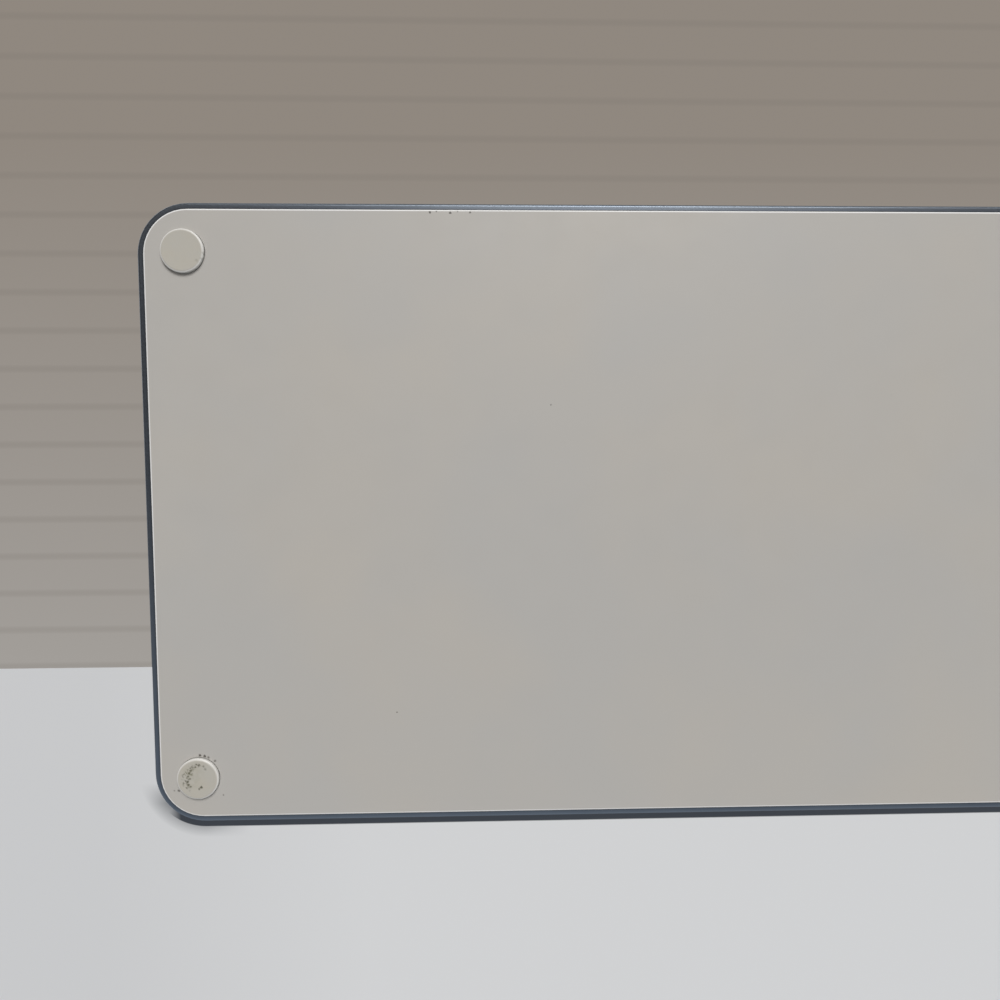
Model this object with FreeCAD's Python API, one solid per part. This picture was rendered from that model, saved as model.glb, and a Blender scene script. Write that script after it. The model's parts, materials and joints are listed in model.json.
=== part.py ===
import FreeCAD, Part
import math
import os

# Compact wireless keyboard: a wedge-shaped aluminium top case, a bonded white bottom cover on four
# rubber feet, scissor keys on a riveted backplate, and a battery, logic board, charging port and
# power switch inside. Millimetres. +X is the user's right, +Y the rear edge, +Z up, with the desk
# at z = 0 and the origin under the middle of the body.

Vector = FreeCAD.Vector

# Body
body_corner_radius = 9.3
deck_rise = 6.28

# Underside
foot_height = 0.9
foot_diameter = 7.8
foot_side_inset = 8.4
foot_end_inset = 8.8
foot_edge_chamfer = 0.3
foot_recess_depth = 0.3
foot_recess_clearance = 0.05
cover_thickness = 0.6
cover_proud = 0.3
cover_edge_radius = 0.25
cover_gap = 0.1
adhesive_thickness = 0.1
adhesive_margin = 0.1

# Top case walls
rim_width = 1.1
ledge_width = 1.15
deck_skin = 1.2
lower_edge_radius = 0.5
upper_edge_radius = 0.4

# Key field
key_pitch = 19.0
key_gap = 2.6
row_units = 14.5
letter_rows = 5
side_margin = 3.0
front_margin = 3.0
rear_margin = 6.6
function_key_depth = 10.3
half_key_gap = 1.0
key_rise = 0.9
key_travel = 1.0
cap_height = 1.6
cap_roof = 0.7
cap_skirt = 0.7
cap_corner_radius = 1.9
half_cap_corner_radius = 0.9
cap_edge_radius = 0.3
opening_clearance = 0.4

# Sheets under the keys
skirt_floor_clearance = 0.2
membrane_thickness = 0.2
backplate_thickness = 0.3
sheet_clearance = 0.3
floor_gap = 0.2

# Scissor links and domes
link_length = 9.0
link_frame_width = 8.6
link_bar_width = 0.7
link_bar_thickness = 0.5
link_clearance = 0.1
link_seat_gap = 0.05
dome_radius = 2.5
dome_top_share = 0.6
dome_wall = 0.4
dome_seat_gap = 0.05
space_link_offset = 28.0
round_corner_offset = 1.5

# Stabiliser bars
stabiliser_wire = 0.7
stabiliser_arm = 4.0
stabiliser_bend = 1.2
stabiliser_end_inset = 2.6
stabiliser_wall_gap = 0.5
stabiliser_units = 1.5

# Rivets
rivet_shank_radius = 0.6
rivet_head_radius = 1.0
rivet_head_height = 0.2
rivet_bite = 0.6
rivet_pitch = 48.0
rivets_each_side = 3
rivet_hole_clearance = 0.05

# Battery
cell_width = 98.0
cell_depth = 33.0
cell_thickness = 2.8
cell_middle_gap = 14.0
cell_corner_radius = 2.0
cell_front = 61.0
battery_board_depth = 4.0
battery_board_thickness = 0.8

# Logic board
board_width = 64.0
board_depth = 10.6
board_thickness = 0.8
board_height = 5.0
board_wall_gap = 0.2
board_hole_offsets = (-27.0, -12.0, 12.0, 27.0)
chip_height = 0.9
# each chip: its x, its side and its distance from the board's front edge
chip_places = ((-19.5, 7.0, 1.5), (11.0, 6.0, 1.2), (20.0, 4.0, 2.0))
antenna_x = 28.0
antenna_length = 6.0
antenna_depth = 2.2
antenna_edge_gap = 0.6
boss_radius = 1.5
boss_wall_gap = 0.2
screw_radius = 0.6
screw_head_radius = 1.1
screw_head_height = 0.5
screw_length = 2.6
screw_socket_radius = 0.36
screw_clearance = 0.08

# Charging port
port_slot_width = 7.0
port_slot_height = 1.9
port_slot_depth = 6.2
port_shell_width = 8.8
port_shell_height = 3.0
port_shell_depth = 8.4
port_mouth_clearance = 0.25
port_pocket_clearance = 0.15
port_face_recess = 1.0

# Power switch
switch_x = 82.0
switch_z = 5.4
switch_travel = 2.4
knob_width = 4.6
knob_height = 1.8
knob_recess = 0.25
knob_clearance = 0.15
knob_flange_overlap = 0.4
knob_flange_height = 3.0
knob_flange_thickness = 0.6
knob_flange_gap = 0.2
knob_ridges = 3
knob_ridge_width = 0.3
knob_ridge_pitch = 0.9
knob_ridge_depth = 0.15
switch_body_width = 12.0
switch_body_height = 4.4
switch_body_depth = 3.0
switch_post_width = 1.2

# Flexible leads
lead_thickness = 0.2
lead_joint_gap = 0.05
battery_lead_width = 8.0
switch_lead_width = 2.4
tail_width = 10.0
tail_x = -19.5
tail_connector_height = 1.1
tail_connector_depth = 3.4
tail_connector_wall = 1.0
tail_connector_edge_gap = 1.0
tail_overhang = 0.4
tail_slot_clearance = 0.1
switch_lead_edge_gap = 1.0

# How far a cutting shape runs past the face it opens
past = 1.0

# Worked out from the sizes above
body_width = row_units * key_pitch - key_gap + 2 * side_margin
body_depth = front_margin + letter_rows * key_pitch + function_key_depth + rear_margin
half_width = body_width / 2
half_depth = body_depth / 2
cover_bottom = foot_height
cover_top = cover_bottom + cover_thickness
rim_bottom = cover_bottom + cover_proud
ledge_bottom = cover_top + adhesive_thickness
cavity_inset = rim_width + ledge_width
cover_inset = rim_width + cover_gap
key_depth = key_pitch - key_gap
cap_bottom = key_rise - cap_height
cap_ceiling = key_rise - cap_roof
membrane_top = cap_bottom - key_travel - skirt_floor_clearance
membrane_bottom = membrane_top - membrane_thickness
backplate_bottom = membrane_bottom - backplate_thickness
front_height = cover_top + floor_gap - backplate_bottom
rear_height = front_height + deck_rise
deck_tilt = math.atan2(deck_rise, body_depth)
function_row_front = front_margin + letter_rows * key_pitch
cavity_rear = half_depth - cavity_inset
port_z = board_height + board_thickness / 2
deck_placement = FreeCAD.Placement(
    Vector(0, -half_depth, front_height),
    FreeCAD.Rotation(Vector(1, 0, 0), math.degrees(deck_tilt)),
)

# Rows from the front edge to the rear: (row's unit offset, [(key name, width in units), ...])
upper_names = list("qwertyuiop")
home_names = list("asdfghjkl")
function_names = ["f%d" % n for n in range(1, 13)]
digit_names = ["grave"] + ["digit_%d" % (n % 10) for n in range(1, 11)] + ["minus", "equals"]
lower_names = list("zxcvbnm") + ["comma", "period", "slash"]

key_rows = [
    [
        ("fn", 1),
        ("control", 1),
        ("left_option", 1),
        ("left_command", 1.25),
        ("space", 5),
        ("right_command", 1.25),
        ("right_option", 1),
    ],
    [("left_shift", 2.25)] + [(n, 1) for n in lower_names] + [("right_shift", 2.25)],
    [("caps_lock", 1.75)]
    + [(n, 1) for n in home_names]
    + [("semicolon", 1), ("quote", 1), ("return", 1.75)],
    [("tab", 1.5)]
    + [(n, 1) for n in upper_names]
    + [("left_bracket", 1), ("right_bracket", 1), ("backslash", 1)],
    [(n, 1) for n in digit_names] + [("delete", 1.5)],
    [("escape", 1.5)] + [(n, 1) for n in function_names] + [("lock", 1)],
]

# Keys that share one node, bank by bank
key_banks = {
    "function_keys": function_names,
    "number_keys": digit_names,
    "symbol_keys": ["left_bracket", "right_bracket", "backslash", "semicolon", "quote"],
    "lower_letter_keys": lower_names,
}


class Key:
    """One keycap's place in the deck plane, as a rectangle from (u0, v0) to (u1, v1)."""

    def __init__(self, name, u0, v0, width, depth, units, radius=cap_corner_radius):
        self.name = name
        self.units = units
        self.radius = radius
        self.u0, self.v0 = u0, v0
        self.u1, self.v1 = u0 + width, v0 + depth
        self.width, self.depth = width, depth
        self.middle = Vector(u0 + width / 2, v0 + depth / 2, 0)

    def radii(self, grow=0.0):
        """Corner radii, front left first and anticlockwise. The body's own corner keys are rounder."""
        corner = body_corner_radius - side_margin
        rounder = {"fn": 0, "arrow_right": 1, "lock": 2, "escape": 3}.get(self.name)
        return [(corner if n == rounder else self.radius) + grow for n in range(4)]


def lay_out_keys():
    """Every key of the layout, row by row from the front."""
    keys = []
    for row, names in enumerate(key_rows):
        u = -half_width + side_margin
        v = front_margin + row * key_pitch
        depth = function_key_depth if row == len(key_rows) - 1 else key_depth
        for name, units in names:
            keys.append(Key(name, u, v, units * key_pitch - key_gap, depth, units))
            u += units * key_pitch
    half = (key_depth - half_key_gap) / 2
    arrows_u = -half_width + side_margin + (row_units - 3) * key_pitch
    for place, name in enumerate(["arrow_left", "arrow_down", "arrow_right"]):
        u = arrows_u + place * key_pitch
        keys.append(Key(name, u, front_margin, key_depth, half, 1, half_cap_corner_radius))
    up_v = front_margin + key_depth - half
    up_u = arrows_u + key_pitch
    keys.append(Key("arrow_up", up_u, up_v, key_depth, half, 1, half_cap_corner_radius))
    return keys


def rounded_face(x0, y0, x1, y1, radii, z=0.0):
    """A flat face with round corners. radii run from the lower left corner, anticlockwise."""
    corners = [(x0, y0, 180), (x1, y0, 270), (x1, y1, 0), (x0, y1, 90)]
    inward = [(1, 1), (-1, 1), (-1, -1), (1, -1)]
    edges, starts, ends = [], [], []
    for (x, y, angle), (sx, sy), r in zip(corners, inward, radii):
        cx, cy = x + sx * r, y + sy * r
        points = []
        for turn in (0, 45, 90):
            a = math.radians(angle + turn)
            points.append(Vector(cx + r * math.cos(a), cy + r * math.sin(a), z))
        edges.append(Part.Arc(*points).toShape())
        starts.append(points[0])
        ends.append(points[2])
    for n in range(4):
        edges.append(Part.LineSegment(ends[n], starts[(n + 1) % 4]).toShape())
    return Part.Face(Part.Wire(Part.__sortEdges__(edges)))


def body_plan(inset, z, height):
    """The body's outline, moved in by inset, as a prism."""
    x, y = half_width - inset, half_depth - inset
    face = rounded_face(-x, -y, x, y, [body_corner_radius - inset] * 4, z)
    return face.extrude(Vector(0, 0, height))


def block(x0, x1, y0, y1, z0, z1):
    """A box between two corners."""
    return Part.makeBox(x1 - x0, y1 - y0, z1 - z0, Vector(x0, y0, z0))


def on_deck(shape):
    """A shape made in deck coordinates (u, v along the slope, w out of it), put in the body frame."""
    shape = shape.copy()
    shape.Placement = deck_placement.multiply(shape.Placement)
    return shape


def deck_point(u, v, w):
    """A deck-frame point in the body frame."""
    return deck_placement.multVec(Vector(u, v, w))


def above_deck(level):
    """Everything above a plane that lies at w = level, large enough to trim the body with."""
    return on_deck(block(-body_width, body_width, -body_depth, 2 * body_depth, level, level + body_depth))


def edges_where(shape, test):
    """The edges whose every vertex passes a test."""
    return [e for e in shape.Edges if all(test(v.Point) for v in e.Vertexes)]


def height_over_deck(point):
    """How far a body-frame point lies above the deck plane."""
    return deck_placement.inverse().multVec(point).z


def foot_places():
    """Centres of the four feet, in plan."""
    x, y = half_width - foot_side_inset, half_depth - foot_end_inset
    return [(sx * x, sy * y) for sy in (-1, 1) for sx in (-1, 1)]


def under_battery(u, v):
    """Whether a rivet there would stand in a battery cell."""
    inner = cell_middle_gap / 2 - rivet_head_radius
    outer = cell_middle_gap / 2 + cell_width + rivet_head_radius
    rear = cell_front + cell_depth
    return inner < abs(u) < outer and cell_front - rivet_head_radius < v < rear + rivet_head_radius


def rivet_places():
    """Centres of the rivets, on the webs between key rows, in deck coordinates."""
    places = []
    for row in range(1, letter_rows + 1):
        v = front_margin + row * key_pitch - key_gap / 2
        for n in range(rivets_each_side):
            for side in (-1, 1):
                u = side * (n + 0.5) * rivet_pitch
                if not under_battery(u, v):
                    places.append((u, v))
    return places


def board_hole_places():
    """Centres of the logic board's screws, in plan."""
    y = cavity_rear - boss_wall_gap - boss_radius
    return [(x, y) for x in board_hole_offsets]


def key_openings(keys):
    """The holes through the deck, one a key, and one for the pair of upright arrow keys."""
    holes = []
    c = opening_clearance
    for key in keys:
        if key.name == "arrow_up":
            continue
        v1 = key.v1
        if key.name == "arrow_down":
            v1 = front_margin + key_depth
        face = rounded_face(key.u0 - c, key.v0 - c, key.u1 + c, v1 + c, key.radii(c), -2 * deck_skin)
        holes.append(face.extrude(Vector(0, 0, 4 * deck_skin)))
    return holes


def stadium(x, z, width, height, y0, y1):
    """A slot with round ends, running along Y."""
    r = height / 2
    run = width / 2 - r
    left, right = Vector(x - run, y0, z), Vector(x + run, y0, z)
    up, out = Vector(0, 0, r), Vector(r, 0, 0)
    edges = [
        Part.LineSegment(left + up, right + up),
        Part.Arc(right + up, right + out, right - up),
        Part.LineSegment(right - up, left - up),
        Part.Arc(left - up, left - out, left + up),
    ]
    face = Part.Face(Part.Wire([edge.toShape() for edge in edges]))
    return face.extrude(Vector(0, y1 - y0, 0))


def make_top_case(keys):
    """Machined aluminium shell: deck with key openings, walls, a ledge for the cover, and bosses."""
    outer = body_plan(0, rim_bottom, rear_height + past).cut(above_deck(0))
    low = edges_where(outer, lambda p: abs(p.z - rim_bottom) < 1e-6)
    outer = outer.makeFillet(lower_edge_radius, low)
    high = edges_where(outer, lambda p: abs(height_over_deck(p)) < 1e-6)
    outer = outer.makeFillet(upper_edge_radius, high)
    pocket = body_plan(rim_width, rim_bottom - past, ledge_bottom - rim_bottom + past)
    cavity = body_plan(cavity_inset, ledge_bottom, rear_height).cut(above_deck(-deck_skin))
    case = outer.cut([pocket, cavity])
    bosses = []
    for x, y in board_hole_places():
        boss_bottom = board_height + board_thickness
        bosses.append(Part.makeCylinder(boss_radius, rear_height, Vector(x, y, boss_bottom)))
    bosses = [boss.cut(above_deck(-deck_skin / 2)) for boss in bosses]
    case = case.fuse(bosses)
    cuts = [on_deck(hole) for hole in key_openings(keys)]
    for u, v in rivet_places():
        r = rivet_shank_radius + rivet_hole_clearance
        depth = rivet_bite + rivet_hole_clearance
        cuts.append(on_deck(Part.makeCylinder(r, depth, Vector(u, v, -deck_skin))))
    for x, y in board_hole_places():
        bottom = board_height + board_thickness
        cuts.append(Part.makeCylinder(screw_radius, screw_length, Vector(x, y, bottom)))
    cuts += port_cuts() + switch_cuts()
    return case.cut(cuts)


def port_cuts():
    """The charging port's mouth through the rear wall, and the pocket that its shell sits in."""
    c = port_mouth_clearance
    width, height = port_slot_width + 2 * c, port_slot_height + 2 * c
    mouth = stadium(0, port_z, width, height, cavity_rear - past, half_depth + past)
    w = port_shell_width / 2 + port_pocket_clearance
    h = port_shell_height / 2 + port_pocket_clearance
    seat = half_depth - port_face_recess + port_pocket_clearance
    pocket = block(-w, w, cavity_rear - past, seat, port_z - h, port_z + h)
    return [mouth, pocket]


def switch_cuts():
    """The slot that the power switch's knob slides in."""
    width = knob_width + switch_travel + 2 * knob_clearance
    height = knob_height + 2 * knob_clearance
    return [stadium(switch_x, switch_z, width, height, cavity_rear - past, half_depth + past)]


def make_bottom_cover():
    """Moulded plastic plate, bonded into the case's pocket, with a shallow seat for each foot."""
    plate = body_plan(cover_inset, cover_bottom, cover_thickness)
    low = edges_where(plate, lambda p: abs(p.z - cover_bottom) < 1e-6)
    plate = plate.makeFillet(cover_edge_radius, low)
    r = foot_diameter / 2 + foot_recess_clearance
    depth = foot_recess_depth + past
    seats = [Part.makeCylinder(r, depth, Vector(x, y, cover_bottom - past)) for x, y in foot_places()]
    return plate.cut(seats)


def make_feet():
    """Four rubber discs, chamfered at the rim that meets the desk."""
    feet = []
    for x, y in foot_places():
        disc = Part.makeCylinder(foot_diameter / 2, foot_height + foot_recess_depth, Vector(x, y, 0))
        low = edges_where(disc, lambda p: abs(p.z) < 1e-6)
        feet.append(disc.makeChamfer(foot_edge_chamfer, low))
    return feet


def make_cover_adhesive():
    """A thin ring of adhesive between the case's ledge and the cover."""
    outer = body_plan(cover_inset + adhesive_margin, cover_top, adhesive_thickness)
    inner = body_plan(cavity_inset - adhesive_margin, cover_top, adhesive_thickness)
    return outer.cut(inner)


def sheet_under_keys(bottom, thickness):
    """A sheet that fills the case's cavity up to just behind the function row."""
    inset = cavity_inset + sheet_clearance
    x = half_width - inset
    rear = function_row_front + function_key_depth + opening_clearance
    corner = body_corner_radius - inset
    radii = [corner, corner, cap_corner_radius, cap_corner_radius]
    return rounded_face(-x, inset, x, rear, radii, bottom).extrude(Vector(0, 0, thickness))


def rivet_holes():
    """Clearance holes through the sheets under the keys, one for each rivet's shank."""
    r = rivet_shank_radius + rivet_hole_clearance
    bottom = backplate_bottom - past
    height = membrane_top + past - bottom
    return [Part.makeCylinder(r, height, Vector(u, v, bottom)) for u, v in rivet_places()]


def make_backplate():
    """Steel sheet that carries the key mechanisms, with a hole for each rivet."""
    plate = sheet_under_keys(backplate_bottom, backplate_thickness)
    return on_deck(plate.cut(rivet_holes()))


def make_membrane():
    """Printed plastic switch circuit, laid on the backplate."""
    sheet = sheet_under_keys(membrane_bottom, membrane_thickness)
    return on_deck(sheet.cut(rivet_holes()))


def make_rivets():
    """Rivets that clamp the backplate up to the deck's webs, headed on the battery side."""
    rivets = []
    top = -deck_skin + rivet_bite
    for u, v in rivet_places():
        head_bottom = backplate_bottom - rivet_head_height
        shank = Part.makeCylinder(rivet_shank_radius, top - backplate_bottom, Vector(u, v, backplate_bottom))
        head = Part.makeCylinder(rivet_head_radius, rivet_head_height, Vector(u, v, head_bottom))
        # the shoulder between deck and membrane keeps the sheets at their depth
        shoulder_height = -deck_skin - membrane_top
        shoulder_radius = key_gap / 2 - opening_clearance
        shoulder = Part.makeCylinder(shoulder_radius, shoulder_height, Vector(u, v, membrane_top))
        rivets.append(on_deck(shank.fuse([head, shoulder]).removeSplitter()))
    return rivets


def make_keycap(key):
    """A moulded cap: round-edged roof over a thin skirt, open underneath."""
    outer = rounded_face(key.u0, key.v0, key.u1, key.v1, key.radii(), cap_bottom)
    cap = outer.extrude(Vector(0, 0, cap_height))
    roof_edges = edges_where(cap, lambda p: abs(p.z - key_rise) < 1e-6)
    cap = cap.makeFillet(cap_edge_radius, roof_edges)
    s = cap_skirt
    radii = key.radii(-s)
    inner = rounded_face(key.u0 + s, key.v0 + s, key.u1 - s, key.v1 - s, radii, cap_bottom - past)
    hollow = inner.extrude(Vector(0, 0, cap_height - cap_roof + past))
    return on_deck(cap.cut(hollow))


def mechanism_middle(key):
    """Where a key's dome stands: its middle, or clear of the rounder corner of two small keys."""
    if key.name in ("lock", "arrow_right"):
        return key.middle - Vector(round_corner_offset, 0, 0)
    return key.middle


def link_places(key):
    """Where a key's scissors stand: one round its dome, or one in each half of the space bar."""
    if key.name == "space":
        return [key.middle + Vector(side * space_link_offset, 0, 0) for side in (-1, 1)]
    return [mechanism_middle(key)]


def link_widths(key):
    """Widths across the outer and the inner frame of a key's scissor."""
    outer = min(link_frame_width, key.depth - 2 * cap_skirt - 4 * link_clearance)
    return outer, outer - 2 * link_bar_width - 2 * link_clearance


def make_link(middle, width, side):
    """One scissor frame: a rectangular ring, tilted to the left or right about the crossing axis."""
    low = membrane_top + link_seat_gap + link_bar_thickness / 2
    high = cap_ceiling - link_seat_gap - link_bar_thickness / 2
    tilt = math.degrees(math.asin((high - low) / link_length))
    reach = link_length / 2
    bar, t = link_bar_width, link_bar_thickness
    ring = block(-reach, reach, -width / 2, width / 2, -t / 2, t / 2)
    opening = block(-reach + bar, reach - bar, -width / 2 + bar, width / 2 - bar, -t, t)
    link = ring.cut(opening)
    link.rotate(Vector(0, 0, 0), Vector(0, 1, 0), side * tilt)
    link.translate(middle + Vector(0, 0, (low + high) / 2))
    return on_deck(link)


def make_scissor_links(keys):
    """Outer and inner frames of every scissor, crossed at rest."""
    links = []
    for key in keys:
        outer, inner = link_widths(key)
        for middle in link_places(key):
            links.append(make_link(middle, outer, 1))
            links.append(make_link(middle, inner, -1))
    return links


def make_dome(key):
    """A hollow rubber cone between the membrane and the cap's roof."""
    _, inner = link_widths(key)
    r = min(dome_radius, inner / 2 - link_bar_width - link_clearance)
    bottom = membrane_top
    height = cap_ceiling - dome_seat_gap - bottom
    place = mechanism_middle(key) + Vector(0, 0, bottom)
    top = r * dome_top_share
    cone = Part.makeCone(r, top, height, place)
    hollow = Part.makeCone(r - dome_wall, top - dome_wall, height - dome_wall, place)
    return on_deck(cone.cut(hollow))


def is_stabilised(key):
    """Wide keys of full depth have a levelling bar."""
    return key.units >= stabiliser_units and key.depth >= key_depth


def make_stabiliser(key):
    """A bent wire that keeps a wide key level: a long bar with an arm at each end."""
    half_bar = key.width / 2 - stabiliser_end_inset
    bar_v = key.depth / 2 - cap_skirt - stabiliser_wall_gap - stabiliser_wire / 2
    bar_w = cap_ceiling - link_seat_gap - stabiliser_wire / 2
    end_w = membrane_top + link_seat_gap + stabiliser_wire / 2
    drop = math.degrees(math.asin((bar_w - end_w) / stabiliser_arm))
    b = stabiliser_bend
    diagonal = b * (1 - math.cos(math.radians(45)))
    points = {
        "left_end": Vector(-half_bar, -stabiliser_arm, 0),
        "left_in": Vector(-half_bar, -b, 0),
        "left_mid": Vector(-half_bar + diagonal, -diagonal, 0),
        "left_out": Vector(-half_bar + b, 0, 0),
        "right_in": Vector(half_bar - b, 0, 0),
        "right_mid": Vector(half_bar - diagonal, -diagonal, 0),
        "right_out": Vector(half_bar, -b, 0),
        "right_end": Vector(half_bar, -stabiliser_arm, 0),
    }
    path = Part.Wire(
        [
            Part.LineSegment(points["left_end"], points["left_in"]).toShape(),
            Part.Arc(points["left_in"], points["left_mid"], points["left_out"]).toShape(),
            Part.LineSegment(points["left_out"], points["right_in"]).toShape(),
            Part.Arc(points["right_in"], points["right_mid"], points["right_out"]).toShape(),
            Part.LineSegment(points["right_out"], points["right_end"]).toShape(),
        ]
    )
    circle = Part.Circle(points["left_end"], Vector(0, 1, 0), stabiliser_wire / 2).toShape()
    wire = path.makePipeShell([Part.Wire(circle)], True, False)
    wire.rotate(Vector(0, 0, 0), Vector(1, 0, 0), drop)
    wire.translate(key.middle + Vector(0, bar_v, bar_w))
    return on_deck(wire)


def make_battery():
    """Two flat cells glued under the backplate, joined by a small protection board."""
    solids = []
    top = backplate_bottom
    for side in (-1, 1):
        near = side * cell_middle_gap / 2
        far = side * (cell_middle_gap / 2 + cell_width)
        x0, x1 = min(near, far), max(near, far)
        face = rounded_face(x0, cell_front, x1, cell_front + cell_depth, [cell_corner_radius] * 4, top)
        solids.append(on_deck(face.extrude(Vector(0, 0, -cell_thickness))))
    rear = cell_front + cell_depth
    middle = block(
        -cell_middle_gap / 2,
        cell_middle_gap / 2,
        rear - battery_board_depth,
        rear,
        top - battery_board_thickness,
        top,
    )
    solids.append(on_deck(middle))
    return solids


def board_front():
    """The logic board's front edge."""
    return cavity_rear - board_wall_gap - board_depth


def connector_rear():
    """Rear face of the connector that takes the circuit's tail."""
    return board_front() + tail_connector_edge_gap + tail_connector_depth


def make_logic_board():
    """The circuit board with its chips, cable connector and antenna."""
    z0, z1 = board_height, board_height + board_thickness
    y0, y1 = board_front(), cavity_rear - board_wall_gap
    board = block(-board_width / 2, board_width / 2, y0, y1, z0, z1)
    w = port_shell_width / 2 + port_pocket_clearance
    notch_front = half_depth - port_face_recess - port_shell_depth - port_pocket_clearance
    cuts = [block(-w, w, notch_front, y1 + past, z0 - past, z1 + past)]
    r = screw_radius + screw_clearance
    for x, y in board_hole_places():
        cuts.append(Part.makeCylinder(r, board_thickness + 2 * past, Vector(x, y, z0 - past)))
    board = board.cut(cuts)
    half = tail_width / 2 + tail_connector_wall
    rear = connector_rear()
    connector = block(
        tail_x - half,
        tail_x + half,
        rear - tail_connector_depth,
        rear,
        z1,
        z1 + tail_connector_height,
    )
    half = tail_width / 2 + tail_slot_clearance
    slot = block(
        tail_x - half,
        tail_x + half,
        rear - tail_connector_depth / 2,
        rear + past,
        tail_height() - lead_thickness,
        tail_height() + lead_thickness,
    )
    connector = connector.cut(slot)
    chips = []
    for x, side, place in chip_places:
        chips.append(block(x - side / 2, x + side / 2, y0 + place, y0 + place + side, z0 - chip_height, z0))
    half = antenna_length / 2
    rear = y0 + antenna_edge_gap + antenna_depth
    antenna = block(antenna_x - half, antenna_x + half, y0 + antenna_edge_gap, rear, z1, z1 + chip_height)
    return [board, connector, antenna] + chips


def make_port():
    """Charging receptacle: a metal shell round a slot that is open to the rear."""
    front = half_depth - port_face_recess
    w, h = port_shell_width / 2, port_shell_height / 2
    shell = block(-w, w, front - port_shell_depth, front, port_z - h, port_z + h)
    slot = stadium(0, port_z, port_slot_width, port_slot_height, front - port_slot_depth, front + past)
    return shell.cut(slot)


def make_board_screws():
    """Screws from below, through the board into the case's bosses."""
    screws = []
    for x, y in board_hole_places():
        low = Vector(x, y, board_height - screw_head_height)
        head = Part.makeCylinder(screw_head_radius, screw_head_height, low)
        shank = Part.makeCylinder(screw_radius, board_thickness + screw_length, Vector(x, y, board_height))
        socket = Part.makeCylinder(screw_socket_radius, screw_head_height / 2, low)
        screws.append(head.fuse(shank).removeSplitter().cut(socket))
    return screws


def tail_height():
    """Height of the membrane's tail where it enters its connector."""
    return board_height + board_thickness + tail_connector_height / 2


def make_membrane_tail():
    """The circuit's flat tail: round the backplate's rear edge and back into the board."""
    inset_rear = function_row_front + function_key_depth + opening_clearance
    start = deck_point(0, inset_rear, membrane_bottom + membrane_thickness / 2)
    end_z = tail_height()
    r = (start.z - end_z) / 2
    bend_y = start.y + tail_overhang
    end_y = connector_rear() - tail_connector_depth / 2 + tail_slot_clearance
    t = lead_thickness / 2

    def offset(d):
        """The strip's side line, d outside the middle line."""
        upper = Vector(0, bend_y, start.z + d)
        outer = Vector(0, bend_y + r + d, (start.z + end_z) / 2)
        lower = Vector(0, bend_y, end_z - d)
        return upper, outer, lower

    u0, o0, l0 = offset(t)
    u1, o1, l1 = offset(-t)
    begin_y = start.y + lead_joint_gap
    begin0, begin1 = Vector(0, begin_y, start.z + t), Vector(0, begin_y, start.z - t)
    finish0, finish1 = Vector(0, end_y, end_z - t), Vector(0, end_y, end_z + t)
    edges = [
        Part.LineSegment(begin0, u0),
        Part.Arc(u0, o0, l0),
        Part.LineSegment(l0, finish0),
        Part.LineSegment(finish0, finish1),
        Part.LineSegment(finish1, l1),
        Part.Arc(l1, o1, u1),
        Part.LineSegment(u1, begin1),
        Part.LineSegment(begin1, begin0),
    ]
    face = Part.Face(Part.Wire([e.toShape() for e in edges]))
    strip = face.extrude(Vector(tail_width, 0, 0))
    strip.translate(Vector(tail_x - tail_width / 2, 0, 0))
    return strip


def make_flex_leads():
    """Flat leads: battery to logic board, and power switch to logic board."""
    board_rear = cell_front + cell_depth + lead_joint_gap
    battery_end = deck_point(0, board_rear, backplate_bottom - battery_board_thickness / 2)
    t = lead_thickness / 2
    board_end_z = board_height + board_thickness / 2
    profile = [
        Vector(0, battery_end.y, battery_end.z + t),
        Vector(0, board_front(), board_end_z + t),
        Vector(0, board_front(), board_end_z - t),
        Vector(0, battery_end.y, battery_end.z - t),
    ]
    profile.append(profile[0])
    face = Part.Face(Part.makePolygon(profile))
    battery_lead = face.extrude(Vector(battery_lead_width, 0, 0))
    battery_lead.translate(Vector(-battery_lead_width / 2, 0, 0))
    lead_rear = cavity_rear - board_wall_gap - switch_lead_edge_gap
    lead_x1 = switch_x - switch_body_width / 2
    switch_lead = block(
        board_width / 2, lead_x1, lead_rear - switch_lead_width, lead_rear, port_z - t, port_z + t
    )
    return [battery_lead, switch_lead]


def flange_front():
    """Rear-facing side of the power knob's flange."""
    return cavity_rear - knob_flange_gap


def make_switch_body():
    """The slide switch's housing behind the wall, with the groove that the knob's post runs in."""
    y1 = flange_front() - knob_flange_thickness - knob_flange_gap
    y0 = y1 - switch_body_depth
    w, h = switch_body_width / 2, switch_body_height / 2
    gap = knob_flange_height / 2 + knob_clearance
    body = block(switch_x - w, switch_x + w, y0, y1, switch_z - h, switch_z + h)
    run = (switch_post_width + switch_travel) / 2 + knob_clearance
    groove_half = switch_post_width / 2 + knob_clearance
    groove = block(
        switch_x - run,
        switch_x + run,
        y1 - switch_body_depth / 2,
        y1 + past,
        switch_z - groove_half,
        switch_z + groove_half,
    )
    # feet that bond the housing to the case's inner wall, above and below the knob's flange
    feet = [
        block(switch_x - w, switch_x + w, y1, cavity_rear, switch_z + gap, switch_z + h),
        block(switch_x - w, switch_x + w, y1, cavity_rear, switch_z - h, switch_z - gap),
    ]
    return body.fuse(feet).removeSplitter().cut(groove)


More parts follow.
